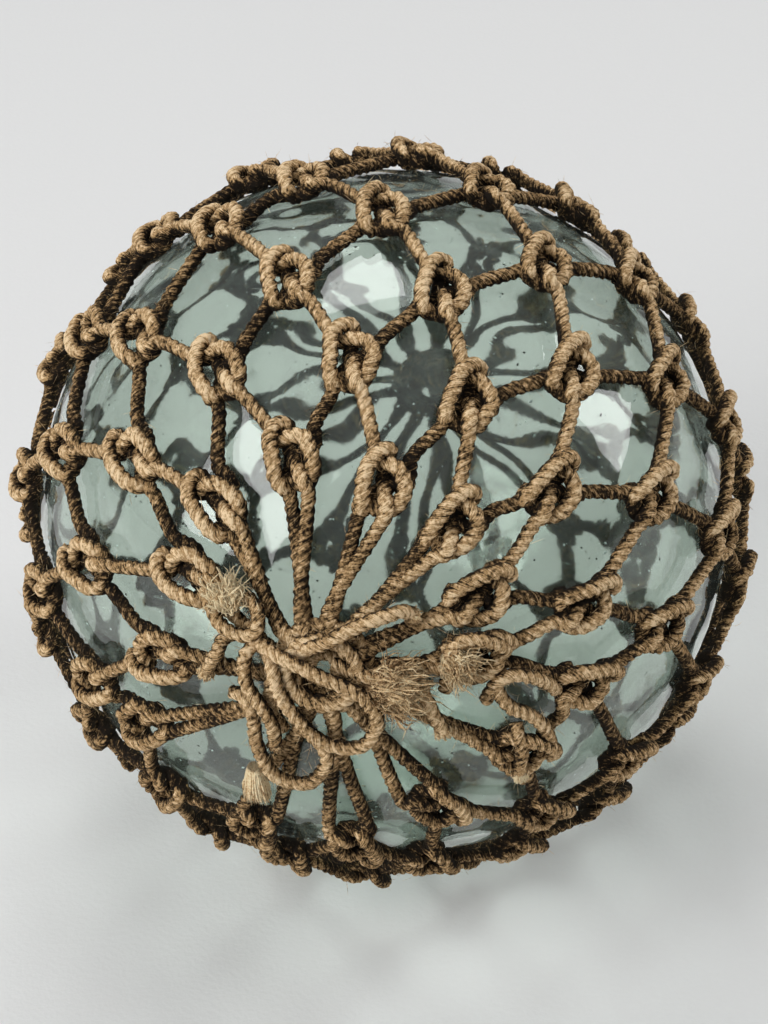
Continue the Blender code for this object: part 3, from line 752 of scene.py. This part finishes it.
tie_ropes = []
for tie_number, route in enumerate(TIE_ROUTES.values()):
    tie_path = off_the_glass(smooth_path(over_gather(route), ROPE_STEP), ROPE_RADIUS)
    tie_ropes.append(laid_rope(tie_path, ROPE_RADIUS, TIE_RANDOM + tie_number))
ring_turns = np.linspace(0, 360, RING_POINTS)
for ring_number, (ring_radius, ring_height) in enumerate(DRAW_RINGS):
    ring_away = np.full(RING_POINTS, math.degrees(ring_radius / GLASS_RADIUS))
    ring_path = BALL_CENTRE + direction(ring_away, ring_turns) * (GLASS_RADIUS + ring_height)
    ring_path = smooth_path(ring_path, ROPE_STEP)
    tie_ropes.append(laid_rope(ring_path, ROPE_RADIUS, RING_RANDOM + ring_number))
drawstring = rope_piece("drawstring", tie_ropes)
drawstring.data.materials.append(rope_finish("tie_rope", rope_wear_and_shade, TIE_BLEACHED, ROPE_COLOURS))
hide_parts("gathering_rope")
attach(drawstring, "root")


# The frayed ends
# Where the drawstring was cut, its strands have come unlaid and stand out as brushes and
# tufts of coarse fibre: straw-coloured where fresh, brown where matted.

# Each is where it starts and where it points, as routes are given, and then its length in
# millimetres, how far it spreads, how much its fibres curl, their number and how pale it is
FRAYED_ENDS = {
    "pale_brush": ((-28, -48, 17), (-28, -72, 17), 23, 0.17, 0.7, 560, 1.05),
    "brown_tuft": ((17, -2, 11), (41, -6, 16), 24, 0.29, 6.5, 1000, 0.62),
    "small_tuft": ((-40, 22, 13), (-43, 36, 18), 12, 0.36, 4.5, 420, 1.30),
    "cut_end": ((50, 10, 9), (61, 3, 19), 16, 0.30, 4.0, 520, 1.05),
    "white_end": ((86, -55, 12), (88, -67, 11), 6, 0.15, 0.4, 260, 1.40),
    "across_end": ((34, 28, 12), (38, 25, 8), 5, 0.25, 0.8, 160, 0.60),
    "small_end": ((-51, -8, 10), (-53, -14, 9), 5, 0.25, 0.8, 160, 0.90),
    "slack_end": ((50, -26, 10), (54, -34, 9), 5, 0.25, 0.8, 160, 0.70),
    "slack_start": ((42, -9, 10), (40, -3, 9), 4, 0.25, 0.8, 140, 0.60),
    "hidden_end": ((-20, -37, 12), (-20, -43, 10), 4, 0.25, 0.8, 140, 0.50),
}
FIBRE_COLOURS = ((0.20, 0.115, 0.055), (0.54, 0.345, 0.170), (0.84, 0.61, 0.34), (0.95, 0.80, 0.52))
FIBRE_STEPS = 8
FIBRE_THICKNESS = 0.00042
# How long and how thick single fibres are, as shares, and how far they differ in paleness
FIBRE_LENGTHS = (0.75, 1.0)
FIBRE_THICKNESSES = (0.6, 1.5)
PALENESS_PLAY = 0.22
# The fibres start on a disc of this share of the rope's radius and bend by so many half waves
FRAY_ROOT = 0.95
BEND_WAVES = (1.0, 2.3, 4.1)
FIBRE_BLEACHED = 0.0
# Fibres that would stand over this height are pressed down to this share of the rest
FRAY_HEIGHT = 0.019
FRAY_SPRING = 0.45
# Added to a fibre's direction, its coordinates changed round, to get some other direction
TURNED_ASIDE = 0.1
# Where the random numbers start for the ends and for their fibres
FRAY_RANDOM, FIBRE_RANDOM = 400, 450


def hairs(lines, thickness):
    """Three-sided fibres along the given lines, one after another, drawn to a point at both ends:
    a fibre's radius is its thickness times the root of the sine of its share of the way."""
    count, steps = lines.shape[:2]
    ahead = np.gradient(lines, axis=1)
    ahead /= np.linalg.norm(ahead, axis=2, keepdims=True)
    aside = np.cross(ahead, np.roll(ahead[:, :1], 1, axis=2) + TURNED_ASIDE)
    aside /= np.linalg.norm(aside, axis=2, keepdims=True)
    up = np.cross(ahead, aside)
    share = np.linspace(0, 1, steps)[1:-1]
    reach = thickness[:, None] * np.sqrt(np.sin(math.pi * share))
    turn = 2 * math.pi * np.arange(3) / 3
    ring = np.cos(turn)[:, None] * aside[:, 1:-1, None] + np.sin(turn)[:, None] * up[:, 1:-1, None]
    rings = lines[:, 1:-1, None] + ring * reach[..., None, None]
    points = np.concatenate([lines[:, :1], rings.reshape(count, -1, 3), lines[:, -1:]], axis=1)
    each = points.shape[1]
    index = 1 + np.arange((steps - 2) * 3).reshape(steps - 2, 3)
    beside = np.roll(index, -1, axis=1)
    quads = np.stack([index[:-1], beside[:-1], beside[1:], index[1:]], -1).reshape(-1, 4)
    tips = np.concatenate([np.stack([np.zeros(3, int), beside[0], index[0]], -1),
                           np.stack([np.full(3, each - 1), index[-1], beside[-1]], -1)])
    shift = each * np.arange(count)[:, None, None]
    quads = (quads[None] + shift).reshape(-1, 4)
    tips = (tips[None] + shift).reshape(-1, 3)
    return points.reshape(-1, 3), quads, tips


def frayed_end(start, towards, length, spread, curl, count, seed):
    """The lines of one end's fibres: from a disc nearly as wide as the rope they fan out along the
    end's own line, and bend by sine waves that grow with their share of the way."""
    rng = np.random.default_rng(seed)
    root, tip = over_gather([start, towards])
    axis = (tip - root) / np.linalg.norm(tip - root)
    aside = np.cross(axis, root - BALL_CENTRE)
    aside /= np.linalg.norm(aside)
    up = np.cross(aside, axis)
    turn = rng.uniform(0, 2 * math.pi, count)
    out = np.sqrt(rng.random(count))
    disc = (np.cos(turn) * out)[:, None] * aside + (np.sin(turn) * out)[:, None] * up
    share = np.linspace(0, 1, FIBRE_STEPS)[None, :, None]
    reach = (length * rng.uniform(*FIBRE_LENGTHS, count) / 1000)[:, None, None]
    lines = root + disc[:, None] * ROPE_RADIUS * FRAY_ROOT
    lines = lines + (axis + spread * disc)[:, None] * reach * share
    for waves_along in BEND_WAVES:
        bend = rng.normal(size=(count, 1, 3)) / waves_along
        phase = rng.uniform(*PHASES, (count, 1, 1))
        lines = lines + bend * curl / 1000 * share * np.sin(math.pi * waves_along * share + phase)
    spoke = lines - BALL_CENTRE
    far = np.linalg.norm(spoke, axis=2, keepdims=True)
    over = np.maximum(far - GLASS_RADIUS - FRAY_HEIGHT, 0.0)
    far_kept = np.maximum(far - (1 - FRAY_SPRING) * over, GLASS_RADIUS + FIBRE_THICKNESS * 2)
    return BALL_CENTRE + spoke / far * far_kept


fray_lines = []
fray_paleness = []
for fray_number, (start, towards, length, spread, curl, count, pale) in enumerate(FRAYED_ENDS.values()):
    fray_seed = FRAY_RANDOM + fray_number
    fray_lines.append(frayed_end(start, towards, length, spread, curl, count, fray_seed))
    fray_paleness.append(np.full(count, pale))
fray_lines = np.concatenate(fray_lines)
fray_paleness = np.concatenate(fray_paleness)
fray_rng = np.random.default_rng(FIBRE_RANDOM)
fray_thickness = FIBRE_THICKNESS * fray_rng.uniform(*FIBRE_THICKNESSES, len(fray_lines))
fray_points, fray_quads, fray_tips = hairs(fray_lines, fray_thickness)
points_each = len(fray_points) // len(fray_lines)
fray_worn = fray_paleness + fray_rng.normal(scale=PALENESS_PLAY, size=len(fray_lines))
fray_worn = np.repeat(fray_worn, points_each)
fray_values = {"wear_and_shade": fray_worn, "crown": np.full(len(fray_points), CROWN_MIDDLE), "lie": fray_points}
frayed_ends = surface("frayed_ends", fray_points, [fray_quads, fray_tips], fray_values)
fibre_finish = rope_finish("loose_fibre", rope_wear_and_shade, FIBRE_BLEACHED, FIBRE_COLOURS)
frayed_ends.data.materials.append(fibre_finish)
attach(frayed_ends, "root")


# Loose fibres on the ropes
# Coarse fibre never lies quite flat: broken ends of it stand out all over the ropes, a few
# millimetres long and much thinner than those of the frayed ends.
FUZZ_COUNTS = {"net_ropes": 8500, "tie_ropes": 2000}
FUZZ_STEPS = 4
FUZZ_LENGTH = (0.0012, 0.0042)
FUZZ_THICKNESS = 0.00009
FUZZ_THICKNESSES = (0.6, 1.4)
FUZZ_PALENESS = (0.2, 0.9)
# How far a fibre stands out of the rope, leans along it, strays and bends
FUZZ_STANDS = (0.25, 1.0)
FUZZ_LEANS = 0.9
FUZZ_STRAYS = 0.25
FUZZ_BENDS = 0.5
# Where the random numbers start, with the count of the fibres added
FUZZ_RANDOM = 500


def fuzz_lines(ropes, count, seed):
    """Short lines that start on a rope's rings and lean along it, bending with the square of their
    share of the way."""
    rng = np.random.default_rng(seed)
    rings = np.concatenate([rope[0][:-2].reshape(-1, ROPE_SIDES, 3) for rope in ropes])
    middles = rings.mean(axis=1)
    picked = rng.integers(0, len(rings) - 1, count)
    root = rings[picked, rng.integers(0, ROPE_SIDES, count)]
    out = root - middles[picked]
    out /= np.linalg.norm(out, axis=1, keepdims=True)
    along = middles[picked + 1] - middles[picked]
    along /= np.linalg.norm(along, axis=1, keepdims=True)
    aim = out * rng.uniform(*FUZZ_STANDS, (count, 1))
    aim += along * rng.normal(scale=FUZZ_LEANS, size=(count, 1))
    aim += rng.normal(scale=FUZZ_STRAYS, size=(count, 3))
    bend = rng.normal(scale=FUZZ_BENDS, size=(count, 3))
    share = np.linspace(0, 1, FUZZ_STEPS)[None, :, None]
    length = rng.uniform(*FUZZ_LENGTH, count)[:, None, None]
    lines = root[:, None] + (aim[:, None] * share + bend[:, None] * share ** 2) * length
    spoke = lines - BALL_CENTRE
    far = np.linalg.norm(spoke, axis=2, keepdims=True)
    lines = BALL_CENTRE + spoke / far * np.maximum(far, GLASS_RADIUS + FUZZ_THICKNESS * 2)
    lines[..., 2] = np.maximum(lines[..., 2], FUZZ_THICKNESS * 2)
    return lines


for fuzz_name, ropes, slot_name in (("net_ropes", net_ropes, "net_rope"),
                                    ("tie_ropes", tie_ropes, "tie_rope")):
    fuzz_count = FUZZ_COUNTS[fuzz_name]
    fuzz_rng = np.random.default_rng(FUZZ_RANDOM + fuzz_count)
    lines = fuzz_lines(ropes, fuzz_count, fuzz_count)
    fuzz_thickness = FUZZ_THICKNESS * fuzz_rng.uniform(*FUZZ_THICKNESSES, fuzz_count)
    fuzz_points, fuzz_quads, fuzz_tips = hairs(lines, fuzz_thickness)
    fuzz_worn = np.repeat(fuzz_rng.uniform(*FUZZ_PALENESS, fuzz_count), len(fuzz_points) // fuzz_count)
    fuzz_values = {"wear_and_shade": fuzz_worn, "crown": np.full(len(fuzz_points), CROWN_MIDDLE), "lie": fuzz_points}
    fuzz = surface("loose_fibres_on_" + fuzz_name, fuzz_points, [fuzz_quads, fuzz_tips], fuzz_values)
    fuzz.data.materials.append(fibre_finish)
    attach(fuzz, "root")


# Camera, floor and lights
# The float lies on a pale floor, seen from in front and above. Three broad lamps give it
# soft light, one on the left, one on the right and one overhead.
CAMERA_RISE = 36.5
CAMERA_DISTANCE = 1.377
CAMERA_VIEW = 20.94
# The sky is dim low down and bright overhead: it brightens between these shares of the way up
SKY_HEIGHTS = (0.05, 0.9)
SKY_STRENGTHS = (0.07, 0.45)
SKY_COLOUR = (0.97, 0.985, 1.0)
FLOOR_SIZE = 40.0
FLOOR_COLOUR = (0.78, 0.78, 0.775)
FLOOR_ROUGHNESS = 0.9
# The grain of the floor: noise waves to the metre, detail, and the strength and depth of its bump
FLOOR_GRAIN, FLOOR_DETAIL = 350.0, 4.0
FLOOR_BUMP, FLOOR_DEPTH = 0.25, 0.001
# Each lamp's name, direction and distance from the ball's middle, size and power
LAMPS = (
    ("left", (-0.70, -0.54, 0.52), 3.2, (1.9, 2.3), 70.0),
    ("over", (-0.15, 0.456, 0.877), 3.5, (1.45, 1.45), 31.0),
    ("right", (0.891, 0.171, 0.50), 3.5, (1.3, 1.9), 36.0),
)


def floor_finish():
    """One pale colour, with fine noise as its bump."""
    mat = plain_finish("pale_floor", FLOOR_COLOUR, FLOOR_ROUGHNESS)
    nodes, links = mat.node_tree.nodes, mat.node_tree.links
    place = nodes.new("ShaderNodeTexCoord")
    noise = nodes.new("ShaderNodeTexNoise")
    noise.inputs["Scale"].default_value = FLOOR_GRAIN
    noise.inputs["Detail"].default_value = FLOOR_DETAIL
    links.new(place.outputs["Object"], noise.inputs["Vector"])
    bump = nodes.new("ShaderNodeBump")
    bump.inputs["Strength"].default_value = FLOOR_BUMP
    bump.inputs["Distance"].default_value = FLOOR_DEPTH
    links.new(noise.outputs["Fac"], bump.inputs["Height"])
    links.new(bump.outputs["Normal"], nodes["Principled BSDF"].inputs["Normal"])
    return mat


half = FLOOR_SIZE / 2
floor_points = np.array([[-half, -half, 0], [half, -half, 0], [half, half, 0], [-half, half, 0]])
floor = surface("floor", floor_points, [np.array([[0, 1, 2, 3]])])
floor.data.materials.append(floor_finish())

for title, towards, distance, size, power in LAMPS:
    light = bpy.data.lights.new("lamp_" + title, "AREA")
    light.shape = "RECTANGLE"
    light.size, light.size_y = size
    light.energy = power
    lamp = bpy.data.objects.new("lamp_" + title, light)
    line = Vector(towards).normalized()
    lamp.location = Vector(BALL_CENTRE) + line * distance
    lamp.rotation_euler = line.to_track_quat("Z", "Y").to_euler()
    bpy.context.scene.collection.objects.link(lamp)

world = bpy.data.worlds.new("studio")
world.use_nodes = True
world_nodes, world_links = world.node_tree.nodes, world.node_tree.links
sky_place = world_nodes.new("ShaderNodeTexCoord")
sky_parts = world_nodes.new("ShaderNodeSeparateXYZ")
sky_ramp = world_nodes.new("ShaderNodeMapRange")
sky_ramp.inputs["From Min"].default_value = SKY_HEIGHTS[0]
sky_ramp.inputs["From Max"].default_value = SKY_HEIGHTS[1]
sky_ramp.inputs["To Min"].default_value = SKY_STRENGTHS[0]
sky_ramp.inputs["To Max"].default_value = SKY_STRENGTHS[1]
world_links.new(sky_place.outputs["Generated"], sky_parts.inputs["Vector"])
world_links.new(sky_parts.outputs["Z"], sky_ramp.inputs["Value"])
world_links.new(sky_ramp.outputs["Result"], world_nodes["Background"].inputs["Strength"])
world_nodes["Background"].inputs["Color"].default_value = (*SKY_COLOUR, 1.0)
bpy.context.scene.world = world
bpy.context.scene.view_settings.view_transform = "Standard"

camera = bpy.data.cameras.new("camera")
camera.sensor_fit = "VERTICAL"
camera.angle = math.radians(CAMERA_VIEW)
eye = bpy.data.objects.new("camera", camera)
rise = math.radians(CAMERA_RISE)
back = Vector((0.0, -math.cos(rise), math.sin(rise)))
eye.location = Vector(BALL_CENTRE) + back * CAMERA_DISTANCE
eye.rotation_euler = back.to_track_quat("Z", "Y").to_euler()
bpy.context.scene.collection.objects.link(eye)
bpy.context.scene.camera = eye
